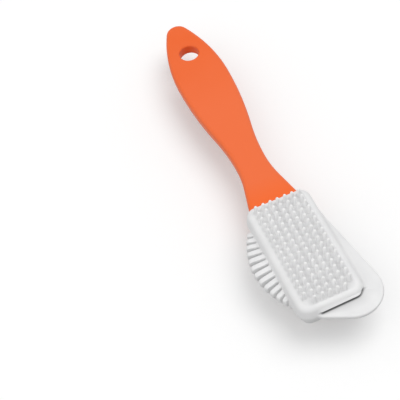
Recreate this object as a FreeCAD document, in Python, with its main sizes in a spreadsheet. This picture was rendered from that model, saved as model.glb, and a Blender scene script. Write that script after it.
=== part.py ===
import FreeCAD, Part
import os
import Sketcher
from math import acos, atan2, cos, hypot, isclose, pi, sin, tan

# Suede and nubuck brush: an orange paddle handle whose core tongue carries a white rubber head.
# The head has a nub field on top, fins along one side, a thin flap on the other, and a bristle block below.
# Frame: millimetres, +Z up, standing on the bristle tips at Z = 0, +Y from the head to the handle's tip.
# The origin is under the middle of the whole brush. X = 0 is the handle's axis, with the fins at -X.

HANDLE_SIZES = {
    "handle_length": 110.0,
    "handle_thickness": 4.8,
    "joint_width": 21.8,
    "neck_width": 13.0,
    "neck_place": 24.5,
    "belly_width": 22.8,
    "belly_place": 76.0,
    "tip_radius": 5.0,
    "handle_edge_radius": 1.7,
    "hang_hole_diameter": 8.4,
    "hang_hole_inset": 18.6,
    "hang_hole_chamfer": 0.4,
    "flare_arc_share": 0.42,
    "waist_arc_share": 0.36,
}
TONGUE_SIZES = {
    "tongue_thickness": 2.3,
    "tongue_step": 0.3,
    "tongue_side_lip": 1.3,
    "tongue_front_lip": 4.8,
    "tongue_corner_radius": 2.0,
    "lock_hole_diameter": 2.8,
    "lock_hole_spread": 11.0,
}
BLOCK_SIZES = {
    "block_width": 16.4,
    "block_length": 39.0,
    "block_thickness": 3.9,
    "block_recess": 1.0,
    "block_corner_radius": 1.0,
    "block_clearance": 0.05,
    "peg_diameter": 3.2,
    "peg_spread_share": 0.32,
}
TUFT_SIZES = {
    "bristle_proud": 9.5,
    "tuft_hole_diameter": 2.6,
    "tuft_hole_depth": 3.2,
    "tuft_side_inset": 1.9,
    "tuft_end_inset": 2.6,
    "tuft_clearance": 0.05,
    "nylon_tip_diameter": 4.0,
    "wire_tip_diameter": 4.6,
    "tuft_splay": 0.7,
    "anchor_width": 2.3,
    "anchor_thickness": 0.5,
    "anchor_height": 1.0,
}
HEAD_SIZES = {
    "rim_rear_width": 6.2,
    "rim_front_width": 6.6,
    "rim_side_width": 3.1,
    "rim_draft": 2.7,
    "plateau_draft": 1.2,
    "cover_thickness": 4.0,
    "head_edge_radius": 1.8,
    "front_corner_radius": 5.5,
    "rear_corner_radius": 3.4,
    "lobe_width": 6.8,
    "root_sink": 0.6,
}
FLAP_SIZES = {
    "flap_step": 3.7,
    "flap_thickness": 2.0,
    "flap_radius": 12.0,
    "flap_overhang": 7.2,
    "flap_side_start": 8.0,
    "flap_front_start": 6.0,
    "flap_edge_draft": 0.5,
}
FIN_SIZES = {
    "fin_arc_radius": 32.0,
    "fin_arc_place": 25.0,
    "fin_row_length": 38.0,
    "fin_row_place": 27.2,
    "fin_pitch": 3.1,
    "fin_gap": 1.1,
    "fin_top_step": 3.2,
    "fin_foot_step": 1.7,
    "fin_edge_step": 6.8,
    "fin_edge_height": 2.8,
    "fin_root_depth": 3.5,
    "fin_end_sink": 1.0,
}
NUB_SIZES = {
    "nub_height": 4.0,
    "nub_base_diameter": 2.1,
    "nub_tip_diameter": 1.1,
    "nub_pitch_across": 3.05,
    "nub_pitch_along": 2.93,
    "nub_side_margin": 3.4,
    "nub_rear_margin": 3.6,
    "nub_front_margin": 4.0,
    "nub_root": 0.6,
}
CUT_SIZES = {"overrun": 2.0}
SAME_PLACE = 1e-6
EVEN_SPACING = -1.0
NUB_SIDES = 6
TUFT_SIDES = 8
PEG_SIDES = 8
TUFT_COLUMNS = 4
TUFT_ROWS = 6

doc = FreeCAD.newDocument("suede_brush")
sizes = doc.addObject("Spreadsheet::Sheet", "sizes")
cell_row = 1
for group in (HANDLE_SIZES, TONGUE_SIZES, BLOCK_SIZES, TUFT_SIZES, HEAD_SIZES, FLAP_SIZES, FIN_SIZES,
              NUB_SIZES, CUT_SIZES):
    for alias, number in group.items():
        sizes.set(f"A{cell_row}", alias)
        sizes.set(f"B{cell_row}", str(number))
        sizes.setAlias(f"B{cell_row}", alias)
        cell_row += 1
doc.recompute()

# Levels above the floor, worked up from the bristle tips.
RIM = "sizes.bristle_proud"
BLOCK_FACE = f"({RIM} + sizes.block_recess)"
TONGUE_FOOT = f"({BLOCK_FACE} + sizes.block_thickness)"
HANDLE_TOP = f"({TONGUE_FOOT} + sizes.tongue_thickness + sizes.tongue_step)"
HANDLE_FOOT = f"({HANDLE_TOP} - sizes.handle_thickness)"
PLATEAU = f"({HANDLE_TOP} + sizes.cover_thickness)"
FLAP_TOP = f"({PLATEAU} - sizes.flap_step)"
FLAP_FOOT = f"({FLAP_TOP} - sizes.flap_thickness)"
PARTING = f"(({FLAP_TOP} + {FLAP_FOOT}) / 2)"
FIN_EDGE = f"({PLATEAU} - sizes.fin_edge_step)"

# Plan lengths. The head's rear face is the local Y = 0, and distances to the front are positive.
RIM_HALF = "(sizes.block_width / 2 + sizes.rim_side_width)"
HEAD_HALF = f"({RIM_HALF} + sizes.rim_draft)"
PLATEAU_HALF = f"({HEAD_HALF} - sizes.plateau_draft)"
REACH = f"({HEAD_HALF} + sizes.lobe_width)"
BLOCK_FRONT = "(sizes.rim_rear_width + sizes.block_length)"
BLOCK_MIDDLE = "(sizes.rim_rear_width + sizes.block_length / 2)"
TONGUE_FRONT = f"({BLOCK_FRONT} + sizes.tongue_front_lip)"
RIM_FRONT = f"({BLOCK_FRONT} + sizes.rim_front_width)"
HEAD_FRONT = f"({RIM_FRONT} + sizes.rim_draft)"
PLATEAU_FRONT = f"({HEAD_FRONT} - sizes.plateau_draft)"
FLAP_FRONT = f"({HEAD_FRONT} + sizes.flap_overhang)"
SHIFT = f"(({FLAP_FRONT} - sizes.handle_length) / 2)"
TUFT_PITCH_ACROSS = f"((sizes.block_width - 2 * sizes.tuft_side_inset) / {TUFT_COLUMNS - 1})"
TUFT_PITCH_ALONG = f"((sizes.block_length - 2 * sizes.tuft_end_inset) / {TUFT_ROWS - 1})"
NUB_COLUMNS = f"(floor(2 * ({PLATEAU_HALF} - sizes.nub_side_margin) / sizes.nub_pitch_across) + 1)"
NUB_ROWS = (f"(floor(({PLATEAU_FRONT} - sizes.nub_rear_margin - sizes.nub_front_margin)"
            " / sizes.nub_pitch_along) + 1)")
FIN_GROOVES = "(floor(sizes.fin_row_length / sizes.fin_pitch) + 2)"
ZERO = "0 * sizes.overrun"
PLANES = {"top": "XY_Plane", "front": "XZ_Plane", "side": "YZ_Plane"}


def value(expression):
    """The number that an expression of the sheet gives at present."""
    return float(sizes.evalExpression(expression))


def origin_part(body, role):
    return next(f for f in body.Origin.OriginFeatures if f.Role == role)


def new_body(label):
    """A body of its own for one sub-part, set along Y so that the brush's middle is the origin."""
    body = doc.addObject("PartDesign::Body", label)
    body.Label = label
    body.setExpression("Placement.Base.y", SHIFT)
    return body


def new_sketch(body, name, plane, offset):
    """A sketch on one of the body's origin planes, moved along the plane's normal."""
    sketch = body.newObject("Sketcher::SketchObject", name)
    sketch.AttachmentSupport = [(origin_part(body, PLANES[plane]), "")]
    sketch.MapMode = "FlatFace"
    sketch.setExpression("AttachmentOffset.Base.z", offset)
    return sketch


def dimension(sketch, kind, where, expression):
    """Adds one dimension and ties it to the sheet."""
    index = sketch.addConstraint(Sketcher.Constraint(kind, *where, value(expression)))
    sketch.setExpression(f"Constraints[{index}]", expression)


def pin(sketch, geometry, point, x, y):
    """Pins a point of the sketch at (x, y)."""
    dimension(sketch, "DistanceX", (-1, 1, geometry, point), x)
    dimension(sketch, "DistanceY", (-1, 1, geometry, point), y)


def join_loop(sketch, loop, kind):
    """Joins each element's end to the start of the next one, all the way round."""
    for now, after in zip(loop, loop[1:] + loop[:1]):
        sketch.addConstraint(Sketcher.Constraint(kind, now, 2, after, 1))


def line(sketch, start, end):
    points = (FreeCAD.Vector(*start, 0), FreeCAD.Vector(*end, 0))
    return sketch.addGeometry(Part.LineSegment(*points), False)


def arc(sketch, centre, radius, start_angle, end_angle):
    circle = Part.Circle(FreeCAD.Vector(*centre, 0), FreeCAD.Vector(0, 0, 1), radius)
    return sketch.addGeometry(Part.ArcOfCircle(circle, start_angle, end_angle), False)


def circle(sketch, x, y, diameter, construction=False):
    """A full circle, tied to the sheet."""
    centre = FreeCAD.Vector(value(x), value(y), 0)
    shape = Part.Circle(centre, FreeCAD.Vector(0, 0, 1), value(diameter) / 2)
    geometry = sketch.addGeometry(shape, construction)
    pin(sketch, geometry, 3, x, y)
    dimension(sketch, "Diameter", (geometry,), diameter)
    return geometry


def rounded_rectangle(sketch, half_width, rear, front, rear_radius, front_radius):
    """A rectangle about the Y axis, from Y = rear to Y = -front, with its own rear and front corner radii."""
    wide, back, nose = value(half_width), value(rear), -value(front)
    rear_r, front_r = value(rear_radius), value(front_radius)
    right = line(sketch, (wide, nose + front_r), (wide, back - rear_r))
    rear_right = arc(sketch, (wide - rear_r, back - rear_r), rear_r, 0, pi / 2)
    rear_line = line(sketch, (wide - rear_r, back), (rear_r - wide, back))
    rear_left = arc(sketch, (rear_r - wide, back - rear_r), rear_r, pi / 2, pi)
    left = line(sketch, (-wide, back - rear_r), (-wide, nose + front_r))
    front_left = arc(sketch, (front_r - wide, nose + front_r), front_r, pi, 3 * pi / 2)
    front_line = line(sketch, (front_r - wide, nose), (wide - front_r, nose))
    front_right = arc(sketch, (wide - front_r, nose + front_r), front_r, 3 * pi / 2, 2 * pi)
    join_loop(sketch, [right, rear_right, rear_line, rear_left, left, front_left, front_line, front_right],
              "Tangent")
    for upright in (right, left):
        sketch.addConstraint(Sketcher.Constraint("Vertical", upright))
    for level in (rear_line, front_line):
        sketch.addConstraint(Sketcher.Constraint("Horizontal", level))
    dimension(sketch, "DistanceX", (-1, 1, right, 1), half_width)
    dimension(sketch, "DistanceX", (left, 1, -1, 1), half_width)
    dimension(sketch, "DistanceY", (-1, 1, rear_line, 1), rear)
    dimension(sketch, "DistanceY", (front_line, 1, -1, 1), front)
    for corner in (rear_right, rear_left):
        dimension(sketch, "Radius", (corner,), rear_radius)
    for corner in (front_left, front_right):
        dimension(sketch, "Radius", (corner,), front_radius)


def polygon_profile(sketch, points):
    """A closed profile of straight lines through points, each written as a pair of expressions."""
    numbers = [(value(x), value(y)) for x, y in points]
    loop = [line(sketch, a, b) for a, b in zip(numbers, numbers[1:] + numbers[:1])]
    join_loop(sketch, loop, "Coincident")
    for geometry, (x, y) in zip(loop, points):
        pin(sketch, geometry, 1, x, y)


def regular_polygon(sketch, sides, x, y, diameter):
    """A regular polygon inside a construction circle, with one corner straight to the right of the middle."""
    ring = circle(sketch, x, y, diameter, construction=True)
    middle = FreeCAD.Vector(value(x), value(y), 0)
    radius = value(diameter) / 2
    turns = [2 * pi * step / sides for step in range(sides)]
    corners = [middle + FreeCAD.Vector(radius * cos(turn), radius * sin(turn), 0) for turn in turns]
    loop = [sketch.addGeometry(Part.LineSegment(a, b), False)
            for a, b in zip(corners, corners[1:] + corners[:1])]
    join_loop(sketch, loop, "Coincident")
    for side in loop:
        sketch.addConstraint(Sketcher.Constraint("PointOnObject", side, 1, ring))
    for side in loop[1:]:
        sketch.addConstraint(Sketcher.Constraint("Equal", loop[0], side))
    sketch.addConstraint(Sketcher.Constraint("Horizontal", ring, 3, loop[0], 1))


def pad(body, sketch, length):
    feature = body.newObject("PartDesign::Pad", f"{sketch.Name}_pad")
    feature.Profile = sketch
    feature.setExpression("Length", length)
    return feature


def pocket_up(body, sketch, depth):
    """Cuts upwards from a level sketch, and stops the build if nothing was cut."""
    doc.recompute()
    before = body.Shape.Volume
    feature = body.newObject("PartDesign::Pocket", f"{sketch.Name}_pocket")
    feature.Profile = sketch
    feature.Reversed = True
    feature.setExpression("Length", depth)
    doc.recompute()
    if body.Shape.Volume >= before:
        raise RuntimeError(f"{feature.Name} cut nothing")
    return feature


def repeat(pattern, suffix, axis, pitch, count, backwards=False):
    """Sets one direction of a linear pattern, evenly spaced. A second direction has the suffix 2."""
    setattr(pattern, "Direction" + suffix, axis)
    setattr(pattern, "Mode" + suffix, "Spacing")
    setattr(pattern, "Reversed" + suffix, backwards)
    setattr(pattern, "Spacings" + suffix, [EVEN_SPACING])
    pattern.setExpression("Offset" + suffix, pitch)
    pattern.setExpression("Occurrences" + suffix, count)


def new_pattern(body, name, originals):
    """A linear pattern of some features, or of the whole body when none is named."""
    pattern = body.newObject("PartDesign::LinearPattern", name)
    if originals:
        pattern.Originals = originals
    else:
        pattern.TransformMode = "Whole shape"
    body.Tip = pattern
    return pattern


def near(a, b):
    return isclose(a, b, abs_tol=SAME_PLACE)


def edges_where(shape, wanted):
    """Names of the edges whose ends and middle all answer to wanted(point)."""
    names = []
    for number, edge in enumerate(shape.Edges, start=1):
        if edge.Degenerated:
            continue
        first, last = edge.ParameterRange
        places = (first, (first + last) / 2, last)
        if all(wanted(edge.valueAt(place)) for place in places):
            names.append(f"Edge{number}")
    return names


def dress_edges(body, kind, name, size_name, size, wanted):
    """Fillets or chamfers the edges of the body's last feature that answer to wanted(point)."""
    doc.recompute()
    base = body.Tip
    dressing = body.newObject(kind, name)
    dressing.Base = (base, edges_where(base.Shape, wanted))
    dressing.setExpression(size_name, size)


def round_edges(body, name, radius, wanted):
    dress_edges(body, "PartDesign::Fillet", name, "Radius", radius, wanted)


def chamfer_edges(body, name, size, wanted):
    dress_edges(body, "PartDesign::Chamfer", name, "Size", size, wanted)


def handle_profile(sketch):
    """Right half of the paddle: joint line, flare, neck, belly and rounded tip, closed along the axis."""
    long, joint, neck, belly = (value(e) for e in (
        "sizes.handle_length", "sizes.joint_width / 2", "sizes.neck_width / 2", "sizes.belly_width / 2"))
    neck_y, belly_y, tip = (value(e) for e in ("sizes.neck_place", "sizes.belly_place", "sizes.tip_radius"))
    flare_foot = "sizes.neck_place * (1 - sizes.flare_arc_share)"
    swell_foot = "sizes.neck_place + (sizes.belly_place - sizes.neck_place) * sizes.waist_arc_share"
    flare_y, swell_y = value(flare_foot), value(swell_foot)
    # First guesses for the tangent arcs, which the constraints then settle.
    flare_turn = (joint - neck) / (neck_y - (neck_y - flare_y) / 2)
    flare_radius = (neck_y - flare_y) / sin(flare_turn)
    swell_turn = 2 * (belly - neck) / (belly_y - neck_y)
    waist_radius = (swell_y - neck_y) / sin(swell_turn)
    belly_radius = (belly_y - swell_y) / sin(swell_turn)
    tip_y = long - tip
    crown_radius = (belly ** 2 + (tip_y - belly_y) ** 2 - tip ** 2) / (2 * (belly - tip))
    crown_turn = atan2(tip_y - belly_y, crown_radius - belly)
    flare_x = joint - flare_y * tan(flare_turn)
    axis = line(sketch, (0, long), (0, 0))
    base = line(sketch, (0, 0), (joint, 0))
    flare = line(sketch, (joint, 0), (flare_x, flare_y))
    flare_arc = arc(sketch, (neck + flare_radius, neck_y), flare_radius, pi, pi + flare_turn)
    waist_arc = arc(sketch, (neck + waist_radius, neck_y), waist_radius, pi - swell_turn, pi)
    belly_arc = arc(sketch, (belly - belly_radius, belly_y), belly_radius, -swell_turn, 0)
    crown_arc = arc(sketch, (belly - crown_radius, belly_y), crown_radius, 0, crown_turn)
    tip_arc = arc(sketch, (0, tip_y), tip, crown_turn, pi / 2)
    add = sketch.addConstraint
    add(Sketcher.Constraint("Coincident", tip_arc, 2, axis, 1))
    add(Sketcher.Constraint("Coincident", axis, 2, -1, 1))
    add(Sketcher.Constraint("Coincident", base, 1, -1, 1))
    add(Sketcher.Constraint("Coincident", base, 2, flare, 1))
    add(Sketcher.Constraint("Tangent", flare, 2, flare_arc, 2))
    add(Sketcher.Constraint("Tangent", flare_arc, 1, waist_arc, 2))
    add(Sketcher.Constraint("Tangent", waist_arc, 1, belly_arc, 1))
    add(Sketcher.Constraint("Tangent", belly_arc, 2, crown_arc, 1))
    add(Sketcher.Constraint("Tangent", crown_arc, 2, tip_arc, 1))
    add(Sketcher.Constraint("Vertical", axis))
    add(Sketcher.Constraint("Horizontal", base))
    add(Sketcher.Constraint("PointOnObject", tip_arc, 3, -2))
    add(Sketcher.Constraint("Horizontal", flare_arc, 3, flare_arc, 1))
    add(Sketcher.Constraint("Horizontal", crown_arc, 3, crown_arc, 1))
    dimension(sketch, "DistanceY", (-1, 1, axis, 1), "sizes.handle_length")
    dimension(sketch, "Radius", (tip_arc,), "sizes.tip_radius")
    dimension(sketch, "DistanceX", (-1, 1, base, 2), "sizes.joint_width / 2")
    pin(sketch, flare_arc, 1, "sizes.neck_width / 2", "sizes.neck_place")
    pin(sketch, crown_arc, 1, "sizes.belly_width / 2", "sizes.belly_place")
    dimension(sketch, "DistanceY", (-1, 1, flare_arc, 2), flare_foot)
    dimension(sketch, "DistanceY", (-1, 1, belly_arc, 1), swell_foot)


def tongue_profile(sketch):
    """Plan of the core tongue, rooted inside the handle, with the lock holes that the rubber runs through."""
    rounded_rectangle(sketch, "sizes.block_width / 2 + sizes.tongue_side_lip", "sizes.tongue_corner_radius",
                      TONGUE_FRONT, "sizes.tongue_corner_radius", "sizes.tongue_corner_radius")
    for side in ("-1", "1"):
        x = f"{side} * sizes.lock_hole_spread / 2"
        for y in ("-sizes.rim_rear_width / 2", f"-({BLOCK_FRONT} + {TONGUE_FRONT}) / 2"):
            regular_polygon(sketch, PEG_SIDES, x, y, "sizes.lock_hole_diameter")


def peg_outlines(sketch, diameter):
    """Three eight-sided pegs, or their holes, along the middle of the block."""
    for step in ("-1", "0", "1"):
        y = f"{step} * sizes.peg_spread_share * sizes.block_length - {BLOCK_MIDDLE}"
        regular_polygon(sketch, PEG_SIDES, ZERO, y, diameter)


def build_handle():
    """Moulded plastic handle: the paddle with its hang hole, and the tongue inside the head."""
    body = new_body("handle")
    outline = new_sketch(body, "handle_outline", "top", HANDLE_FOOT)
    handle_profile(outline)
    half = pad(body, outline, "sizes.handle_thickness")
    mirror = body.newObject("PartDesign::Mirrored", "handle_mirror")
    mirror.Originals = [half]
    mirror.MirrorPlane = (origin_part(body, PLANES["side"]), [""])
    body.Tip = mirror
    hole = new_sketch(body, "hang_hole", "top", HANDLE_FOOT)
    circle(hole, ZERO, "sizes.handle_length - sizes.hang_hole_inset", "sizes.hang_hole_diameter")
    pocket_up(body, hole, "sizes.handle_thickness + sizes.overrun")
    top, foot = value(HANDLE_TOP), value(HANDLE_FOOT)
    hole_y = value("sizes.handle_length - sizes.hang_hole_inset")
    hole_radius = value("sizes.hang_hole_diameter / 2")

    def on_face(point):
        return near(point.z, top) or near(point.z, foot)

    def on_hole(point):
        return near(hypot(point.x, point.y - hole_y), hole_radius)

    def on_joint(point):
        return near(point.y, 0)

    round_edges(body, "handle_edges", "sizes.handle_edge_radius",
                lambda p: on_face(p) and not on_hole(p) and not on_joint(p))
    chamfer_edges(body, "hang_hole_edges", "sizes.hang_hole_chamfer", lambda p: on_face(p) and on_hole(p))
    tongue = new_sketch(body, "tongue", "top", TONGUE_FOOT)
    tongue_profile(tongue)
    pad(body, tongue, "sizes.tongue_thickness")
    pegs = new_sketch(body, "peg_holes", "top", TONGUE_FOOT)
    peg_outlines(pegs, "sizes.peg_diameter + 2 * sizes.block_clearance")
    pocket_up(body, pegs, "sizes.tongue_thickness + sizes.overrun")
    return body


def build_head_body(body):
    """Rubber body, drafted from the parting line up to the plateau and down to the rim, flat at the rear."""
    rear = "(sizes.rim_draft + sizes.front_corner_radius)"
    for name, height, draft, down in (
            ("upper_plan", f"({PLATEAU} - {PARTING})", "sizes.plateau_draft", False),
            ("lower_plan", f"({PARTING} - {RIM})", "sizes.rim_draft", True)):
        sketch = new_sketch(body, name, "top", PARTING)
        rounded_rectangle(sketch, HEAD_HALF, rear, HEAD_FRONT, "sizes.front_corner_radius",
                          "sizes.front_corner_radius")
        wall = pad(body, sketch, height)
        wall.Reversed = down
        wall.setExpression("TaperAngle", f"-atan({draft} / {height})")
    trim = new_sketch(body, "rear_trim", "top", RIM)
    far = f"{rear} + sizes.overrun"
    polygon_profile(trim, [(f"-{REACH}", ZERO), (REACH, ZERO), (REACH, far), (f"-{REACH}", far)])
    pocket_up(body, trim, f"{PLATEAU} - {RIM} + sizes.overrun")
    rim, plateau, rim_half = value(RIM), value(PLATEAU), value(RIM_HALF)

    def on_rear_side(point):
        return near(point.y, 0) and (abs(point.x) > rim_half or near(abs(point.x), rim_half))

    round_edges(body, "rear_corners", "sizes.rear_corner_radius", on_rear_side)
    round_edges(body, "head_edges", "sizes.head_edge_radius", lambda p: near(p.z, plateau) or near(p.z, rim))


def flap_profile(sketch):
    """Plan of the flap: one round nose with two straight edges that run into the head."""
    centre_x, centre_y = f"({REACH} - sizes.flap_radius)", f"(sizes.flap_radius - {FLAP_FRONT})"
    side_x, side_y = f"({HEAD_HALF} - sizes.root_sink)", "-sizes.flap_side_start"
    nose_x, nose_y = "-sizes.flap_front_start", f"(sizes.root_sink - {HEAD_FRONT})"
    middle = (value(centre_x), value(centre_y))
    side = (value(side_x), value(side_y))
    nose = (value(nose_x), value(nose_y))
    radius = value("sizes.flap_radius")

    def tangent_angle(point, turn):
        """Where the tangent from a point meets the round nose."""
        away = hypot(point[0] - middle[0], point[1] - middle[1])
        return atan2(point[1] - middle[1], point[0] - middle[0]) + turn * acos(radius / away)

    end_angle = tangent_angle(side, -1)
    start_angle = tangent_angle(nose, 1)
    nose_arc = arc(sketch, middle, radius, start_angle, end_angle)
    on_arc = sketch.Geometry[nose_arc]
    start, end = on_arc.StartPoint, on_arc.EndPoint
    side_line = line(sketch, (end.x, end.y), side)
    back_line = line(sketch, side, nose)
    front_line = line(sketch, nose, (start.x, start.y))
    sketch.addConstraint(Sketcher.Constraint("Tangent", nose_arc, 2, side_line, 1))
    sketch.addConstraint(Sketcher.Constraint("Coincident", side_line, 2, back_line, 1))
    sketch.addConstraint(Sketcher.Constraint("Coincident", back_line, 2, front_line, 1))
    sketch.addConstraint(Sketcher.Constraint("Tangent", front_line, 2, nose_arc, 1))
    dimension(sketch, "Radius", (nose_arc,), "sizes.flap_radius")
    pin(sketch, nose_arc, 3, centre_x, centre_y)
    pin(sketch, back_line, 1, side_x, side_y)
    pin(sketch, back_line, 2, nose_x, nose_y)


def build_flap(body):
    """Thin smooth lobe at the parting line, its edge drafted both ways."""
    for name, down in (("flap_upper", False), ("flap_lower", True)):
        sketch = new_sketch(body, name, "top", PARTING)
        flap_profile(sketch)
        lip = pad(body, sketch, "sizes.flap_thickness / 2")
        lip.Reversed = down
        lip.setExpression("TaperAngle", "-atan(sizes.flap_edge_draft / (sizes.flap_thickness / 2))")


def build_fins(body):
    """Row of fins: a wedge swept round a wide arc along the side, parted by grooves that stop at the wall."""
    lobe = new_sketch(body, "fin_lobe", "front", "sizes.fin_arc_place")
    inner = f"-({HEAD_HALF} - sizes.fin_root_depth)"
    outer = f"-{REACH}"
    polygon_profile(lobe, [
        (inner, f"{RIM} + sizes.fin_foot_step"),
        (inner, f"{PLATEAU} - sizes.fin_top_step"),
        (outer, f"{FIN_EDGE} + sizes.fin_edge_height / 2"),
        (outer, f"{FIN_EDGE} - sizes.fin_edge_height / 2")])
    axis_x = f"(sizes.fin_arc_radius - {REACH})"
    axis = lobe.addGeometry(Part.LineSegment(FreeCAD.Vector(value(axis_x), 0, 0),
                                             FreeCAD.Vector(value(axis_x), value(PLATEAU), 0)), True)
    pin(lobe, axis, 1, axis_x, ZERO)
    pin(lobe, axis, 2, axis_x, PLATEAU)
    sweep = body.newObject("PartDesign::Revolution", "fin_sweep")
    sweep.Profile = lobe
    sweep.ReferenceAxis = (lobe, ["Axis0"])
    sweep.Midplane = True
    end_share = f"({axis_x} + {HEAD_HALF} - sizes.fin_end_sink) / sizes.fin_arc_radius"
    sweep.setExpression("Angle", f"2 * acos({end_share})")
    doc.recompute()
    before = body.Shape.Volume
    first = f"(sizes.fin_row_place - ({FIN_GROOVES} - 1) / 2 * sizes.fin_pitch)"
    groove = new_sketch(body, "fin_groove", "front", first)
    far = f"-({REACH} + sizes.overrun)"
    polygon_profile(groove, [
        (f"-{RIM_HALF}", RIM),
        (f"-{HEAD_HALF}", PARTING),
        (f"-{PLATEAU_HALF}", PLATEAU),
        (far, PLATEAU),
        (far, RIM)])
    cut = body.newObject("PartDesign::Pocket", "fin_groove_pocket")
    cut.Profile = groove
    cut.SideType = "Symmetric"
    cut.setExpression("Length", "sizes.fin_gap")
    grooves = new_pattern(body, "fin_grooves", [cut])
    repeat(grooves, "", (groove, ["N_Axis"]), "sizes.fin_pitch", FIN_GROOVES)
    doc.recompute()
    if body.Shape.Volume >= before:
        raise RuntimeError("the fin grooves cut nothing")


def tapered_solid(label, sides, rings):
    """A flat-sided solid through level polygons, each given as (x, y, level, circumradius) expressions."""
    sections = []
    for number, (x, y, level, radius) in enumerate(rings):
        ring = doc.addObject("Part::RegularPolygon", f"{label}_ring_{number}")
        ring.Polygon = sides
        ring.setExpression("Circumradius", radius)
        ring.setExpression("Placement.Base.x", x)
        ring.setExpression("Placement.Base.y", y)
        ring.setExpression("Placement.Base.z", level)
        sections.append(ring)
    solid = doc.addObject("Part::Loft", label)
    solid.Label = label
    solid.Sections = sections
    solid.Solid = True
    solid.Ruled = True
    solid.Linearize = True
    return solid


def build_nubs():
    """Nub field on the plateau: a grid of tapered fingers, with one shorter row at the rounded front."""
    foot, tip = f"({PLATEAU} - sizes.nub_root)", f"({PLATEAU} + sizes.nub_height)"
    first_row = "-sizes.nub_rear_margin"
    front_row = f"-(sizes.nub_rear_margin + {NUB_ROWS} * sizes.nub_pitch_along)"
    fields = []
    for name, columns, rows, y in (("nub", NUB_COLUMNS, NUB_ROWS, first_row),
                                   ("front_nub", f"({NUB_COLUMNS} - 2)", "1", front_row)):
        x = f"-({columns} - 1) / 2 * sizes.nub_pitch_across"
        finger = tapered_solid(name, NUB_SIDES, [(x, y, foot, "sizes.nub_base_diameter / 2"),
                                                 (x, y, tip, "sizes.nub_tip_diameter / 2")])
        doc.recompute()
        field = new_body(f"{name}_field")
        field.BaseFeature = finger
        doc.recompute()
        grid = new_pattern(field, f"{name}_grid", [])
        across, along = ((origin_part(field, role), [""]) for role in ("X_Axis", "Y_Axis"))
        repeat(grid, "", across, "sizes.nub_pitch_across", columns)
        if rows != "1":
            repeat(grid, "2", along, "sizes.nub_pitch_along", rows, backwards=True)
        fields.append(field)
    return fields


def build_rubber_head():
    """White rubber moulding over the tongue, with the recess for the bristle block."""
    body = new_body("head_body")
    build_head_body(body)
    build_flap(body)
    build_fins(body)
    recess = new_sketch(body, "block_recess", "top", RIM)
    rounded_rectangle(recess, "sizes.block_width / 2 + sizes.block_clearance",
                      "sizes.block_clearance - sizes.rim_rear_width",
                      f"{BLOCK_FRONT} + sizes.block_clearance",
                      "sizes.block_corner_radius", "sizes.block_corner_radius")
    pocket_up(body, recess, f"{TONGUE_FOOT} - {RIM}")
    cavity = new_sketch(body, "tongue_cavity", "top", TONGUE_FOOT)
    tongue_profile(cavity)
    pocket_up(body, cavity, "sizes.tongue_thickness")
    head = doc.addObject("Part::MultiFuse", "rubber_head")
    head.Label = "rubber_head"
    head.Shapes = [body, *build_nubs()]
    return head


def build_bristle_block():
    """Red plastic plate with blind tuft holes below and three pegs above."""
    body = new_body("bristle_block")
    plan = new_sketch(body, "block_plan", "top", BLOCK_FACE)
    rounded_rectangle(plan, "sizes.block_width / 2", "-sizes.rim_rear_width", BLOCK_FRONT,
                      "sizes.block_corner_radius", "sizes.block_corner_radius")
    pad(body, plan, "sizes.block_thickness")
    pegs = new_sketch(body, "pegs", "top", TONGUE_FOOT)
    peg_outlines(pegs, "sizes.peg_diameter")
    pad(body, pegs, "sizes.tongue_thickness")
    hole = new_sketch(body, "tuft_hole", "top", BLOCK_FACE)
    regular_polygon(hole, TUFT_SIDES, "sizes.tuft_side_inset - sizes.block_width / 2",
                    "-(sizes.rim_rear_width + sizes.tuft_end_inset)", "sizes.tuft_hole_diameter")
    cut = pocket_up(body, hole, "sizes.tuft_hole_depth")
    holes = new_pattern(body, "tuft_holes", [cut])
    repeat(holes, "", (hole, ["H_Axis"]), TUFT_PITCH_ACROSS, str(TUFT_COLUMNS))
    repeat(holes, "2", (hole, ["V_Axis"]), TUFT_PITCH_ALONG, str(TUFT_ROWS), backwards=True)
    return body


def tuft_place(column, row):
    """Plan place of one tuft's hole, as a pair of expressions in the part's frame."""
    x = f"(sizes.tuft_side_inset - sizes.block_width / 2 + {column} * {TUFT_PITCH_ACROSS})"
    y = f"({SHIFT} - sizes.rim_rear_width - sizes.tuft_end_inset - {row} * {TUFT_PITCH_ALONG})"
    return x, y


def build_tuft(label, column, row, tip_diameter, splay_across, splay_along):
    """One tuft: a straight shank up its hole to the anchor, flaring and leaning outwards to its tip."""
    x, y = tuft_place(column, row)
    shank = "sizes.tuft_hole_diameter / 2 - sizes.tuft_clearance"
    tip_x, tip_y = f"{x} + {splay_across} * sizes.tuft_splay", f"{y} + {splay_along} * sizes.tuft_splay"
    root = f"{BLOCK_FACE} + sizes.tuft_hole_depth - sizes.anchor_height"
    return tapered_solid(label, TUFT_SIDES, [(tip_x, tip_y, ZERO, f"{tip_diameter} / 2"),
                                             (x, y, BLOCK_FACE, shank), (x, y, root, shank)])


def build_tufts():
    """Nylon tufts round the edge of the block, and wire tufts in the middle."""
    tufts = []
    counts = {"nylon": 0, "wire": 0}
    for row in range(TUFT_ROWS):
        for column in range(TUFT_COLUMNS):
            splay_across = (column == TUFT_COLUMNS - 1) - (column == 0)
            splay_along = (row == 0) - (row == TUFT_ROWS - 1)
            kind = "nylon" if splay_across or splay_along else "wire"
            counts[kind] += 1
            tufts.append(build_tuft(f"{kind}_tuft_{counts[kind]:02d}", column, row,
                                    f"sizes.{kind}_tip_diameter", splay_across, splay_along))
    return tufts


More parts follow.
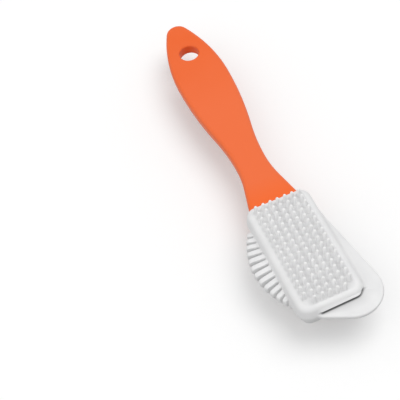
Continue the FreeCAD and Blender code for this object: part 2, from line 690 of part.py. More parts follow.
def build_anchors():
    """One flat metal anchor across the bottom of each tuft hole, all in one group of separate solids."""
    anchors = []
    for row in range(TUFT_ROWS):
        for column in range(TUFT_COLUMNS):
            x, y = tuft_place(column, row)
            anchor = doc.addObject("Part::Box", f"anchor_{row}_{column}")
            anchor.setExpression("Length", "sizes.anchor_width")
            anchor.setExpression("Width", "sizes.anchor_thickness")
            anchor.setExpression("Height", "sizes.anchor_height")
            anchor.setExpression("Placement.Base.x", f"{x} - sizes.anchor_width / 2")
            anchor.setExpression("Placement.Base.y", f"{y} - sizes.anchor_thickness / 2")
            anchor.setExpression("Placement.Base.z",
                                 f"{BLOCK_FACE} + sizes.tuft_hole_depth - sizes.anchor_height")
            anchors.append(anchor)
    group = doc.addObject("Part::Compound", "tuft_anchors")
    group.Label = "tuft_anchors"
    group.Links = anchors
    return group


pieces = [build_handle(), build_rubber_head(), build_bristle_block(), *build_tufts(), build_anchors()]
doc.recompute()
faults = [f"{item.Name}: {', '.join(item.State)}" for item in doc.Objects
          if "Invalid" in item.State or "Error" in item.State]
faults += [f"{piece.Label}: no valid shape" for piece in pieces
           if piece.Shape.isNull() or not piece.Shape.isValid()]
if faults:
    raise RuntimeError("; ".join(faults))
os.makedirs("parts", exist_ok=True)
for piece in pieces:
    piece.Shape.exportStep(f"parts/{piece.Label}.step")
    print(f"{piece.Label}: {len(piece.Shape.Solids)} solids, {piece.Shape.Volume:.1f} mm3")
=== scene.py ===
import math
import random

import bmesh
import bpy
from mathutils import Matrix, Vector
from mathutils.geometry import delaunay_2d_cdt, intersect_line_line_2d


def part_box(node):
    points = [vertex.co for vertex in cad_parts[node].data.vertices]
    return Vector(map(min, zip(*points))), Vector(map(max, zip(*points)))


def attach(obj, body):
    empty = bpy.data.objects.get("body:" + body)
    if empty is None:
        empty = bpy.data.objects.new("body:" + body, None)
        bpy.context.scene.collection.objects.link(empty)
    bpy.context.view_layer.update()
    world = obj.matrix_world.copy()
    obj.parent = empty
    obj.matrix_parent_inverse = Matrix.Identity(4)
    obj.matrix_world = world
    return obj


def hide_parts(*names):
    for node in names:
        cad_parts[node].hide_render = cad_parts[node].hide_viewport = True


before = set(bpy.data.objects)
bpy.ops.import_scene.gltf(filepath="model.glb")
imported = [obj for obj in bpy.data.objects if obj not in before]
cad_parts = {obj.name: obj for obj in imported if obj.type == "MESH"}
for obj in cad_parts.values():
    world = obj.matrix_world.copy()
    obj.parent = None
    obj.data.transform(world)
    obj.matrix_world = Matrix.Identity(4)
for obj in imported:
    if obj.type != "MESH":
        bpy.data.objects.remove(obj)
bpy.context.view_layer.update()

# Handle: one flat paddle of orange plastic, injection moulded, with a hang hole near its tip.
# Its thin tongue runs on inside the rubber head, which is moulded over it and so holds it.
# The faces carry the fine satin grain of the mould, with a paler sheen painted on the grip and a richer
# highlight painted by the head.
MM = 0.001
SATIN_ORANGE = (243, 102, 34)
PALE_ORANGE = (246, 114, 60)
RICH_ORANGE = (250, 104, 20)
GRIP_TIP = 72.0 * MM
GRIP_MIDDLE = 34.0 * MM
GRIP_SHEEN = 0.8
NECK_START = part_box("rubber_head")[1].y
NECK_FADE = 14.0 * MM
NECK_HIGHLIGHT = 0.9
ORANGE_PATCH = 18.0 * MM
ORANGE_PATCH_VALUES = (0.35, 0.65)
ORANGE_PATCH_PALENESS = 0.25
SATIN_GRAIN = 0.35 * MM
SATIN_DEPTH = 0.02 * MM
SATIN_ROUGHNESS = (0.36, 0.48)
NOISE_VALUES = (0.3, 0.7)
NOISE_DETAIL = 3.0
SHARP_EDGE_DEGREES = 35


def screen_colour(rgb):
    """A colour written as 0 to 255 screen values, in the linear values that a shader takes."""
    shares = [value / 255 for value in rgb]
    linear = [s / 12.92 if s <= 0.04045 else ((s + 0.055) / 1.055) ** 2.4 for s in shares]
    return (*linear, 1.0)


def new_material(name, roughness, specular=0.5, metallic=0.0):
    """A material with its shader's plain values set. Returns the material and the shader."""
    material = bpy.data.materials.new(name)
    material.use_nodes = True
    shader = material.node_tree.nodes["Principled BSDF"]
    shader.inputs["Roughness"].default_value = roughness
    shader.inputs["Specular IOR Level"].default_value = specular
    shader.inputs["Metallic"].default_value = metallic
    return material, shader


def cloud(material, size):
    """A soft noise whose patches are about the given size. Returns the output that runs from 0 to 1."""
    tree = material.node_tree
    place = tree.nodes.new("ShaderNodeTexCoord")
    noise = tree.nodes.new("ShaderNodeTexNoise")
    noise.inputs["Scale"].default_value = 1 / size
    noise.inputs["Detail"].default_value = NOISE_DETAIL
    tree.links.new(place.outputs["Object"], noise.inputs["Vector"])
    return noise.outputs["Fac"]


def spread(material, source, given, wanted):
    """Maps one stretch of a source's values to another stretch, and holds the ends beyond it."""
    tree = material.node_tree
    ramp = tree.nodes.new("ShaderNodeMapRange")
    ramp.inputs["From Min"].default_value = given[0]
    ramp.inputs["From Max"].default_value = given[1]
    ramp.inputs["To Min"].default_value = wanted[0]
    ramp.inputs["To Max"].default_value = wanted[1]
    tree.links.new(source, ramp.inputs["Value"])
    return ramp.outputs["Result"]


def mix_colours(material, share, first, second):
    """A colour between two others, which are screen colours or outputs of earlier nodes."""
    tree = material.node_tree
    mix = tree.nodes.new("ShaderNodeMix")
    mix.data_type = "RGBA"
    tree.links.new(share, mix.inputs["Factor"])
    for socket, colour in ((mix.inputs["A"], first), (mix.inputs["B"], second)):
        if isinstance(colour, tuple):
            socket.default_value = screen_colour(colour)
        else:
            tree.links.new(colour, socket)
    return mix.outputs["Result"]


def grain(material, shader, source, depth):
    """Lets a source raise the surface by at most the given depth, as a moulded grain does."""
    tree = material.node_tree
    bump = tree.nodes.new("ShaderNodeBump")
    bump.inputs["Distance"].default_value = depth
    tree.links.new(source, bump.inputs["Height"])
    tree.links.new(bump.outputs["Normal"], shader.inputs["Normal"])


def finish_surface(material, shader, colour, roughness):
    """Ties the colour and the roughness to the nodes that vary them."""
    tree = material.node_tree
    tree.links.new(colour, shader.inputs["Base Color"])
    tree.links.new(roughness, shader.inputs["Roughness"])


def dress(node, material):
    """Gives a CAD node its finish."""
    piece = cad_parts[node]
    piece.data.materials.clear()
    piece.data.materials.append(material)
    piece.data.shade_smooth()
    piece.data.set_sharp_from_angle(angle=math.radians(SHARP_EDGE_DEGREES))


orange_plastic, shader = new_material("orange_plastic", roughness=0.42, specular=0.35)
place = orange_plastic.node_tree.nodes.new("ShaderNodeTexCoord")
along = orange_plastic.node_tree.nodes.new("ShaderNodeSeparateXYZ")
orange_plastic.node_tree.links.new(place.outputs["Object"], along.inputs["Vector"])
# Painted sheen: the grip is paler towards its middle, in place of a broad soft reflection.
painted_sheen = spread(orange_plastic, along.outputs["Y"], (GRIP_TIP, GRIP_MIDDLE), (0.0, GRIP_SHEEN))
colour = mix_colours(orange_plastic, painted_sheen, SATIN_ORANGE, PALE_ORANGE)
patches = cloud(orange_plastic, ORANGE_PATCH)
drift = spread(orange_plastic, patches, ORANGE_PATCH_VALUES, (0.0, ORANGE_PATCH_PALENESS))
colour = mix_colours(orange_plastic, drift, colour, PALE_ORANGE)
# Painted highlight: a richer orange fades in towards the head.
neck = (NECK_START, NECK_START + NECK_FADE)
painted_neck_highlight = spread(orange_plastic, along.outputs["Y"], neck, (NECK_HIGHLIGHT, 0.0))
colour = mix_colours(orange_plastic, painted_neck_highlight, colour, RICH_ORANGE)
fine = cloud(orange_plastic, SATIN_GRAIN)
finish_surface(orange_plastic, shader, colour, spread(orange_plastic, fine, NOISE_VALUES, SATIN_ROUGHNESS))
grain(orange_plastic, shader, fine, SATIN_DEPTH)
dress("handle", orange_plastic)

# Rubber head: one soft white moulding over the handle's tongue, held by the tongue's lock holes.
# Above it has a field of nubs, on one side a row of fins, on the other a thin flap with a deep crease.
# Below, its rim stands proud round the recess that the bristle block is pressed into.
head_low, head_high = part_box("rubber_head")
block_low, block_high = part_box("bristle_block")
tongue_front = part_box("handle")[0].y
REAR = head_high.y
RIM = head_low.z
NUB_HEIGHT = 4.0 * MM
PLATEAU = head_high.z - NUB_HEIGHT
PARTING = PLATEAU - 4.7 * MM
RIM_SIDE_WIDTH = 3.1 * MM
RIM_FRONT_WIDTH = 6.6 * MM
RIM_DRAFT = 2.7 * MM
PLATEAU_DRAFT = 1.2 * MM
WALL_HALF = block_high.x + RIM_SIDE_WIDTH + RIM_DRAFT
WALL_FRONT = block_low.y - RIM_FRONT_WIDTH - RIM_DRAFT
PARTING_SOFTNESS = 0.25 * MM
RIM_ROUND = 1.5 * MM
SHOULDER_ROUND = 2.5 * MM
FRONT_EDGE_ROUND = 2.0 * MM
REAR_EDGE_ROUND = 2.3 * MM
MOUTH_ROUND = 0.4 * MM
ARC_STEPS = 6
# Lengths along the legs of a corner, which only give the legs' directions.
LEVEL_LEG = 5.0 * MM
WALL_LEG = 2.0 * MM
# Painted shade laid thinly over the whole skin, all but the nubs' upper parts, which are left lighter.
THIN_SHADE = 0.1

# Plans of the rounded rectangles: half width, rear, front, rear corner radius, front corner radius.
TONGUE_THICKNESS = 2.3 * MM
TONGUE_TOP = block_high.z
TONGUE_FOOT = TONGUE_TOP - TONGUE_THICKNESS
TONGUE_SIDE_LIP = 1.3 * MM
CAVITY_REAR_INSET = 0.25 * MM
CAVITY_CORNER = 2.0 * MM
RECESS_CLEARANCE = 0.05 * MM
RECESS_CORNER = 1.0 * MM
REAR_CORNER = 4.6 * MM
FRONT_CORNER = 5.5 * MM
WALL_PLAN = (WALL_HALF, REAR, WALL_FRONT, REAR_CORNER, FRONT_CORNER)
RECESS_PLAN = (block_high.x + RECESS_CLEARANCE, block_high.y + RECESS_CLEARANCE,
               block_low.y - RECESS_CLEARANCE, RECESS_CORNER, RECESS_CORNER)
CAVITY_PLAN = (block_high.x + TONGUE_SIDE_LIP, REAR - CAVITY_REAR_INSET,
               tongue_front, CAVITY_CORNER, CAVITY_CORNER)
RIGHT, RIGHT_NOSE, FRONT, LEFT_NOSE, LEFT, LEFT_HEEL, BACK, RIGHT_HEEL = range(8)


def walk_outline(plan, stretch, share):
    """Point and outward normal at a share of one of the eight stretches round a rounded rectangle."""
    half, rear, front, rear_round, front_round = plan
    nose, heel = half - front_round, half - rear_round
    low, high = front + front_round, rear - rear_round
    corners = {
        RIGHT_NOSE: (nose, low, front_round, 0.0),
        LEFT_NOSE: (-nose, low, front_round, -math.pi / 2),
        LEFT_HEEL: (-heel, high, rear_round, math.pi),
        RIGHT_HEEL: (heel, high, rear_round, math.pi / 2)}
    sides = {
        RIGHT: ((half, high), (half, low)),
        FRONT: ((nose, front), (-nose, front)),
        LEFT: ((-half, low), (-half, high)),
        BACK: ((-heel, rear), (heel, rear))}
    if stretch in corners:
        x, y, radius, start = corners[stretch]
        turn = start - share * math.pi / 2
        normal = Vector((math.cos(turn), math.sin(turn)))
        return Vector((x, y)) + normal * radius, normal
    start, end = (Vector(point) for point in sides[stretch])
    along = (end - start).normalized()
    return start.lerp(end, share), Vector((-along.y, along.x))


def smooth_step(value, low, high):
    """Rises smoothly from 0 to 1 as a value goes from low to high."""
    share = min(max((value - low) / (high - low), 0.0), 1.0)
    return share * share * (3 - 2 * share)


def soft_max(a, b, softness):
    """The larger of two lengths, rounded off where they are nearly equal."""
    return (a + b + math.hypot(a - b, softness)) / 2


def wall_inset(level):
    """How far the wall stands inside the parting line, which is its widest level."""
    below = RIM_DRAFT * (PARTING - level) / (PARTING - RIM)
    above = PLATEAU_DRAFT * (level - PARTING) / (PLATEAU - PARTING)
    return soft_max(below, above, PARTING_SOFTNESS)


def corner_arc(before, corner, after, radius):
    """Points of the arc that rounds a corner of a section, from one leg to the other."""
    corner = Vector(corner)
    first = (Vector(before) - corner).normalized()
    second = (Vector(after) - corner).normalized()
    half_angle = first.angle(second) / 2
    middle = corner + (first + second).normalized() * radius / math.sin(half_angle)
    start = corner + first * radius / math.tan(half_angle) - middle
    end = corner + second * radius / math.tan(half_angle) - middle
    swing = start.angle(end)
    points = []
    for step in range(ARC_STEPS):
        share = step / (ARC_STEPS - 1)
        pull = (math.sin((1 - share) * swing), math.sin(share * swing))
        points.append(middle + (start * pull[0] + end * pull[1]) / math.sin(swing))
    return points


# Fins: a wedge swept round a wide arc along the left side, parted by grooves that fan out from the wall.
FIN_COUNT = 13
FIN_PITCH = 2.95 * MM
FIN_MIDDLE = REAR - 26.7 * MM
FIN_FAN_DISTANCE = 35.0 * MM
FIN_ARC_RADIUS = 32.0 * MM
FIN_ARC_CENTRE = Vector((head_low.x + FIN_ARC_RADIUS, REAR - 25.0 * MM))
FIN_EDGE_TOP = PLATEAU - 4.7 * MM
FIN_EDGE_FOOT = PLATEAU - 8.2 * MM
FIN_TOP_SLOPE = 6.2
FIN_FOOT_SLOPE = 5.0
FIN_CORNER_SOFTNESS = 2.0 * MM
FIN_ROOT_SOFTNESS = 0.4 * MM
# Depths below the plateau of the points down the fins' section, close together where its top and edge turn.
FIN_DEPTHS = (2.4, 2.9, 3.25, 3.5, 3.7, 3.9, 4.1, 4.3, 4.5, 4.7, 4.9,
              5.3, 6.0, 6.8, 7.5, 8.0, 8.25, 8.5, 8.9, 9.35, 9.8)
FIN_LEVELS = [PLATEAU - depth * MM for depth in FIN_DEPTHS]
# Half of one fin across its thickness: places as shares of half the pitch, and how far each stands out.
FIN_PLACE_SHARES = (0.08, 0.30, 0.46, 0.55, 0.60, 0.66, 0.72, 0.82)
FIN_STAND_SHARES = (1.0, 0.995, 0.975, 0.93, 0.82, 0.14, 0.03, 0.0)


def fin_offset(point, level):
    """How the swept wedge stands out from a place on the wall at a level, as a vector in plan."""
    top = FIN_ARC_RADIUS + (FIN_EDGE_TOP - level) * FIN_TOP_SLOPE
    foot = FIN_ARC_RADIUS + (level - FIN_EDGE_FOOT) * FIN_FOOT_SLOPE
    slopes = -soft_max(-top, -foot, FIN_CORNER_SOFTNESS)
    radius = max(-soft_max(-slopes, -FIN_ARC_RADIUS, FIN_CORNER_SOFTNESS), 0.0)
    ray = Vector((-FIN_FAN_DISTANCE, point.y - FIN_MIDDLE)).normalized()
    wall = Vector((wall_inset(level) - WALL_HALF, point.y)) - FIN_ARC_CENTRE
    ahead = wall.dot(ray)
    room = ahead ** 2 - wall.length_squared + radius ** 2
    reach = math.sqrt(room) - ahead if room > 0 else -ahead
    return ray * soft_max(reach, 0.0, FIN_ROOT_SOFTNESS)


# Flap: a round nose with two straight edges that run into the wall.
FLAP_TOP = PLATEAU - 3.7 * MM
FLAP_THICKNESS = 2.0 * MM
FLAP_RADIUS = 12.0 * MM
FLAP_CENTRE = Vector((head_high.x - FLAP_RADIUS, head_low.y + FLAP_RADIUS))
FLAP_SIDE_ROOT = Vector((WALL_HALF - 0.6 * MM, REAR - 8.0 * MM))
FLAP_FRONT_ROOT = Vector((-6.0 * MM, WALL_FRONT - 1.2 * MM))
FLAP_SWELL = 0.12 * MM
FLAP_ROOT_WIDTH = 3.2 * MM
FLAP_ROOT_HEIGHT = 1.55 * MM
BARE_ROOT_HEIGHT = 0.6 * MM
FLAP_FOOT_ROUND = 0.8 * MM
FLAP_ARC_POINTS = 40
# Points of the flap's section: shares of its width above and below, and turns round its squarish edge.
FLAP_UPPER_SHARES = (0.33, 0.66, 1.0)
FLAP_LOWER_SHARES = (0.5, 1.0)
FLAP_EDGE_DEGREES = (60, 30, 0, -30, -60, -90)
FLAP_EDGE_SQUARENESS = 0.3
FLAP_EDGE_SHARE = 0.35
FLAP_FOOT_SHARE = 0.3
FLAP_FOOT_STEPS = 4
# Section of the crease under the front wall's lip, and of the groove that it turns into at the right
# corner: distances out from the wall, heights above the flap, and how much painted shade lies there.
CREASE = ((0.5 * MM, 1.4 * MM, 0.0), (0.65 * MM, 1.15 * MM, 0.0), (0.3 * MM, 1.05 * MM, 0.9),
          (-2.2 * MM, 0.5 * MM, 1.0), (0.25 * MM, 0.02 * MM, 0.9), (0.8 * MM, 0.0, 0.25))
GROOVE = ((-0.3 * MM, 1.75 * MM, 0.0), (-0.4 * MM, 1.4 * MM, 0.1), (-0.45 * MM, 1.0 * MM, 0.7),
          (-0.3 * MM, 0.4 * MM, 0.8), (0.0, 0.75 * MM, 0.6), (0.5 * MM, 0.6 * MM, 0.2))
CREASE_RISE = 0.6 * MM
LOWER_LIP = 1.7 * MM
CREASE_START = -7.5 * MM
CREASE_FADE = 2.5 * MM
# Shares of the right corner's turn where the groove is full and where the crease is full.
GROOVE_FULL_SHARE = 0.45
CREASE_FULL_SHARE = 0.9
# Painted shade starts where the crease or the groove has this share of its full depth.
SHADE_START_SHARE = 0.6


def tangent_turn(point, side):
    """Angle on the flap's round nose where the straight edge from a point touches it."""
    away = point - FLAP_CENTRE
    return math.atan2(away.y, away.x) + side * math.acos(FLAP_RADIUS / away.length)


flap_start, flap_end = tangent_turn(FLAP_SIDE_ROOT, -1), tangent_turn(FLAP_FRONT_ROOT, 1)
flap_edge = [FLAP_SIDE_ROOT]
for step in range(FLAP_ARC_POINTS):
    turn = flap_start + (flap_end - flap_start) * step / (FLAP_ARC_POINTS - 1)
    flap_edge.append(FLAP_CENTRE + FLAP_RADIUS * Vector((math.cos(turn), math.sin(turn))))
flap_edge.append(FLAP_FRONT_ROOT)


def flap_reach(point, normal):
    """How far the flap's edge lies from a point of the wall, straight out from it."""
    far = point + normal * 2 * FLAP_RADIUS
    hits = [intersect_line_line_2d(point, far, a, b) for a, b in zip(flap_edge, flap_edge[1:])]
    return max([(hit - point).length for hit in hits if hit], default=0.0)


def flap_section(reach, crease, groove, rise):
    """Section through the flap from its root above to its root below: distances out, levels and painted
    shade.
    """
    root = min(FLAP_ROOT_WIDTH, reach / 2)
    root_height = min(FLAP_ROOT_HEIGHT, BARE_ROOT_HEIGHT + reach)
    edge = min(FLAP_THICKNESS / 2, reach * FLAP_EDGE_SHARE)
    foot_root = min(FLAP_FOOT_ROUND, reach * FLAP_FOOT_SHARE)
    middle = FLAP_TOP - FLAP_THICKNESS / 2
    points = []
    for step, (deep, shallow) in enumerate(zip(CREASE, GROOVE)):
        turn = step / (len(CREASE) - 1) * math.pi / 2
        plain = Vector((root * (1 - math.cos(turn)), root_height * (1 - math.sin(turn)), 0.0))
        shape = plain.lerp(Vector(shallow), groove).lerp(Vector(deep) + Vector((0, rise, 0)), crease)
        # Painted shade stands in for the shadow deep in the crease and the groove, and fades out onto the
        # flap.
        painted_shade = shape.z * smooth_step(max(groove, crease), SHADE_START_SHARE, 1.0)
        points.append((min(shape.x, reach / 2), FLAP_TOP + FLAP_SWELL + shape.y, painted_shade))
    for share in FLAP_UPPER_SHARES:
        points.append((root + (reach - edge - root) * share, FLAP_TOP + FLAP_SWELL * (1 - share), 0.0))
    for degrees in FLAP_EDGE_DEGREES:
        turn = math.radians(degrees)
        out = abs(math.cos(turn)) ** FLAP_EDGE_SQUARENESS
        up = math.copysign(abs(math.sin(turn)) ** FLAP_EDGE_SQUARENESS, degrees)
        points.append((reach - edge + edge * out, middle + FLAP_THICKNESS / 2 * up, 0.0))
    for share in FLAP_LOWER_SHARES:
        out = (reach - edge) + (foot_root - reach + edge) * share
        points.append((out, FLAP_TOP - FLAP_THICKNESS - FLAP_SWELL * share, 0.0))
    for step in range(1, FLAP_FOOT_STEPS + 1):
        turn = step / FLAP_FOOT_STEPS * math.pi / 2
        fall = FLAP_THICKNESS + FLAP_SWELL + FLAP_FOOT_ROUND * (1 - math.cos(turn))
        points.append((foot_root * (1 - math.sin(turn)), FLAP_TOP - fall, 0.0))
    return points


# Stations round the outline, each a stretch, a share of it, and how far a fin stands out there.
# The left side has none by count: it gets close ones of its own, for the fins.
STRETCH_STEPS = {RIGHT: 30, RIGHT_NOSE: 12, FRONT: 28, LEFT_NOSE: 12, LEFT: 0,
                 LEFT_HEEL: 8, BACK: 10, RIGHT_HEEL: 8}
stations = []
for stretch, count in STRETCH_STEPS.items():
    stations += [(stretch, step / count, 0.0) for step in range(count)]
    if stretch == LEFT:
        low, high = (walk_outline(WALL_PLAN, LEFT, share)[0].y for share in (0.0, 1.0))
        stations.append((LEFT, 0.0, 0.0))
        half_fin = list(zip(FIN_PLACE_SHARES, FIN_STAND_SHARES))
        profile = [(-1.0, 0.0)] + [(-place, stand) for place, stand in reversed(half_fin)] + half_fin
        for number in range(FIN_COUNT):
            middle = FIN_MIDDLE + (number - (FIN_COUNT - 1) / 2) * FIN_PITCH
            for place, stand in profile:
                y = middle + place * FIN_PITCH / 2
                stations.append((LEFT, (y - low) / (high - low), stand))
        y = FIN_MIDDLE + FIN_COUNT / 2 * FIN_PITCH
        stations.append((LEFT, (y - low) / (high - low), 0.0))


def zone_section(stretch, share, stand, point, normal):
    """The section's middle stretch at a station: offsets from the wall in plan, levels and painted shade."""
    fins = [(stand * fin_offset(point, level), level, 0.0) for level in FIN_LEVELS]
    if stretch in (LEFT, LEFT_HEEL):
        return fins
    crease = groove = 0.0
    rise = CREASE_RISE
    if stretch == RIGHT_NOSE:
        groove = smooth_step(share, 0.0, GROOVE_FULL_SHARE)
        crease = smooth_step(share, GROOVE_FULL_SHARE, CREASE_FULL_SHARE)
    if stretch == FRONT:
        crease = smooth_step(point.x, CREASE_START, CREASE_START + CREASE_FADE)
        rise *= 1 - share
    reach = flap_reach(point, normal) if stretch in (RIGHT, RIGHT_NOSE, FRONT) else 0.0
    reach = max(reach, LOWER_LIP * crease)
    flap = flap_section(reach, crease, groove, rise)
    lean = {LEFT_NOSE: share, BACK: 1 - share}.get(stretch, 0.0)
    return [((normal * out).lerp(offset, lean), level + (fin_level - level) * lean, painted_shade)
            for (out, level, painted_shade), (offset, fin_level, _) in zip(flap, fins)]


def head_column(stretch, share, stand):
    """The head's skin and its painted shade at one station, from the tongue's cavity over the rim to the
    plateau.
    """
    point, normal = walk_outline(WALL_PLAN, stretch, share)
    rear_share = {LEFT_HEEL: share, BACK: 1.0, RIGHT_HEEL: 1 - share}.get(stretch, 0.0)
    rear_share = smooth_step(rear_share, 0.0, 1.0)
    front_share = {RIGHT_NOSE: share, FRONT: 1.0, LEFT_NOSE: 1 - share}.get(stretch, 0.0)

    def inset(level):
        return wall_inset(level) * (1 - rear_share)

    def at(out, level):
        place = point + normal * out
        return Vector((place.x, place.y, level))

    cavity = walk_outline(CAVITY_PLAN, stretch, share)[0]
    recess, recess_normal = walk_outline(RECESS_PLAN, stretch, share)
    column = [Vector((cavity.x, cavity.y, TONGUE_TOP)), Vector((cavity.x, cavity.y, TONGUE_FOOT))]
    column.append(Vector((recess.x, recess.y, TONGUE_FOOT)))
    for out, level in corner_arc((0, RIM + LEVEL_LEG), (0, RIM), (LEVEL_LEG, RIM), MOUTH_ROUND):
        place = recess + recess_normal * out
        column.append(Vector((place.x, place.y, level)))
    rim_edge = (inset(RIM), RIM)
    above_rim = (inset(RIM + WALL_LEG), RIM + WALL_LEG)
    for depth, level in corner_arc((rim_edge[0] + LEVEL_LEG, RIM), rim_edge, above_rim, RIM_ROUND):
        column.append(at(-depth, level))
    shading = [THIN_SHADE] * len(column)
    for offset, level, painted_shade in reversed(zone_section(stretch, share, stand, point, normal)):
        column.append(at(-inset(level), level) + offset.to_3d())
        shading.append(max(painted_shade, THIN_SHADE))
    plateau_edge = (inset(PLATEAU), PLATEAU)
    below_plateau = (inset(PLATEAU - WALL_LEG), PLATEAU - WALL_LEG)
    on_plateau = (plateau_edge[0] + LEVEL_LEG, PLATEAU)
    rounding = SHOULDER_ROUND + (FRONT_EDGE_ROUND - SHOULDER_ROUND) * front_share
    rounding += (REAR_EDGE_ROUND - SHOULDER_ROUND) * rear_share
    for depth, level in corner_arc(below_plateau, plateau_edge, on_plateau, rounding):
        column.append(at(-depth, level))
        shading.append(THIN_SHADE)
    return column, shading


# Nubs: tapered fingers with a soft foot and a round tip, in a grid with one shorter row at the front.
NUB_COLUMNS = 7
NUB_ROWS = 16
NUB_PITCH_ACROSS = 3.05 * MM
NUB_PITCH_ALONG = 2.93 * MM
NUB_FIRST_ROW = REAR - 3.6 * MM
NUB_SIDES = 14
NUB_LEAN = 0.12 * MM
NUB_SEED = 11
# Rings up one nub: radius in metres, height as a share of the whole, and painted shade, darkest at the foot.
NUB_RADII = (1.1 * MM, 0.96 * MM, 0.89 * MM, 0.77 * MM, 0.68 * MM, 0.62 * MM, 0.47 * MM, 0.26 * MM)
NUB_HEIGHT_SHARES = (0.0, 0.03, 0.1, 0.5, 0.78, 0.88, 0.955, 0.99)
NUB_SHADE = (0.23, 0.15, 0.08, 0.02, 0.0, 0.0, 0.0, 0.0)
rows = [(NUB_COLUMNS, NUB_FIRST_ROW - row * NUB_PITCH_ALONG) for row in range(NUB_ROWS)]
rows.append((NUB_COLUMNS - 2, NUB_FIRST_ROW - NUB_ROWS * NUB_PITCH_ALONG))
nub_places = [Vector(((column - (count - 1) / 2) * NUB_PITCH_ACROSS, y))
              for count, y in rows for column in range(count)]

# Skin of the head: the columns joined side by side, and closed below by the cavity's roof.
corners = []
faces = []
painted_shade = []
columns = [head_column(*station) for station in stations]
height = len(columns[0][0])
for column, shading in columns:
    corners += column
    painted_shade += shading
for number in range(len(columns)):
    here, there = number * height, (number + 1) % len(columns) * height
    faces += [(here + k, there + k, there + k + 1, here + k + 1) for k in range(height - 1)]
faces.append([number * height for number in range(len(columns))])

# The nubs stand on the plateau, and triangles fill it between their feet and its edge.
INSIDE_ONLY = 1
SAME_PLACE = 1e-9
luck = random.Random(NUB_SEED)
outline = [number * height + height - 1 for number in range(len(columns))]
plane_corners = list(outline)
plane_edges = [(k, (k + 1) % len(outline)) for k in range(len(outline))]
foot_of = {}
for nub, middle in enumerate(nub_places):
    lean = Vector((luck.uniform(-1, 1), luck.uniform(-1, 1))) * NUB_LEAN
    first = len(corners)
    for radius, share, shading in zip(NUB_RADII, NUB_HEIGHT_SHARES, NUB_SHADE):
        painted_shade += [shading] * NUB_SIDES
        for side in range(NUB_SIDES):
            turn = 2 * math.pi * side / NUB_SIDES
            place = middle + lean * share + radius * Vector((math.cos(turn), math.sin(turn)))
            corners.append(Vector((place.x, place.y, PLATEAU + NUB_HEIGHT * share)))
    tip = len(corners)
    corners.append(Vector((*(middle + lean), PLATEAU + NUB_HEIGHT)))
    painted_shade.append(0.0)
    for side in range(NUB_SIDES):
        after = (side + 1) % NUB_SIDES
        for ring in range(len(NUB_RADII) - 1):
            low, high = first + ring * NUB_SIDES, first + (ring + 1) * NUB_SIDES
            faces.append((low + side, low + after, high + after, high + side))
        faces.append((high + side, high + after, tip))
        foot_of[len(plane_corners)] = nub
        start = len(plane_corners) - side
        plane_edges.append((len(plane_corners), start + after))
        plane_corners.append(first + side)
flat = [corners[k].xy for k in plane_corners]
_, _, triangles, origins, _, _ = delaunay_2d_cdt(flat, plane_edges, [], INSIDE_ONLY, SAME_PLACE)
for triangle in triangles:
    known = [origins[k][0] for k in triangle]
    nubs = {foot_of.get(k) for k in known}
    if len(nubs) > 1 or nubs == {None}:
        faces.append([plane_corners[k] for k in known])


def new_piece(name, corners, faces, material, slot, smooth_degrees):
    """A mesh piece of its own with closed skin, smooth apart from its sharp edges, riding on the one body."""
    mesh = bpy.data.meshes.new(name)
    mesh.from_pydata(corners, [], faces)
    skin = bmesh.new()
    skin.from_mesh(mesh)
    bmesh.ops.recalc_face_normals(skin, faces=skin.faces)
    skin.to_mesh(mesh)
    skin.free()
    mesh.shade_smooth()
    mesh.set_sharp_from_angle(angle=math.radians(smooth_degrees))
    mesh.materials.append(material)
    piece = bpy.data.objects.new(name, mesh)
    bpy.context.scene.collection.objects.link(piece)
    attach(piece, "root")
    return piece


# The rubber is matt and soft to the touch, with faint clouds; shade is painted dark in the crease and between
# the nubs' feet, and thinly over the rest.
WHITE_RUBBER = (252, 252, 252)
DUSTY_RUBBER = (240, 240, 241)
SHADE_GREY = (92, 92, 94)
RUBBER_PATCH = 9.0 * MM
RUBBER_PATCH_VALUES = (0.35, 0.75)
RUBBER_PATCH_GREYNESS = 0.5
RUBBER_GRAIN = 0.5 * MM
RUBBER_DEPTH = 0.02 * MM
RUBBER_ROUGHNESS = (0.44, 0.58)
white_rubber, shader = new_material("white_rubber", roughness=0.5, specular=0.3)
patches = cloud(white_rubber, RUBBER_PATCH)
drift = spread(white_rubber, patches, RUBBER_PATCH_VALUES, (0.0, RUBBER_PATCH_GREYNESS))
colour = mix_colours(white_rubber, drift, WHITE_RUBBER, DUSTY_RUBBER)
# The skin's points carry painted shade, which darkens the colour towards a dark grey.
shade_attribute = white_rubber.node_tree.nodes.new("ShaderNodeAttribute")
shade_attribute.attribute_name = "painted_shade"
colour = mix_colours(white_rubber, shade_attribute.outputs["Fac"], colour, SHADE_GREY)
fine = cloud(white_rubber, RUBBER_GRAIN)
finish_surface(white_rubber, shader, colour, spread(white_rubber, fine, NOISE_VALUES, RUBBER_ROUGHNESS))
grain(white_rubber, shader, fine, RUBBER_DEPTH)
rubber_skin = new_piece("rubber_skin", corners, faces, white_rubber, "head_rubber", smooth_degrees=50)
# Each point of the skin gets its share of painted shade.
rubber_skin.data.attributes.new("painted_shade", "FLOAT", "POINT").data.foreach_set("value", painted_shade)
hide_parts("rubber_head")

# Bristle block: a red plastic plate, injection moulded, with blind holes for the tufts.
# It is pressed into the head's recess, and its pegs go through the tongue.
# Its face has a plain gloss and faint flow marks from the mould.
BLOCK_RED = (176, 22, 24)
DEEP_RED = (150, 14, 18)
FLOW_MARK = 6.0 * MM
BLOCK_GRAIN = 0.3 * MM
BLOCK_DEPTH = 0.015 * MM
BLOCK_ROUGHNESS = (0.3, 0.42)
red_plastic, shader = new_material("red_plastic", roughness=0.35)
drift = spread(red_plastic, cloud(red_plastic, FLOW_MARK), NOISE_VALUES, (0.0, 1.0))
colour = mix_colours(red_plastic, drift, BLOCK_RED, DEEP_RED)
fine = cloud(red_plastic, BLOCK_GRAIN)
finish_surface(red_plastic, shader, colour, spread(red_plastic, fine, NOISE_VALUES, BLOCK_ROUGHNESS))
grain(red_plastic, shader, fine, BLOCK_DEPTH)
dress("bristle_block", red_plastic)

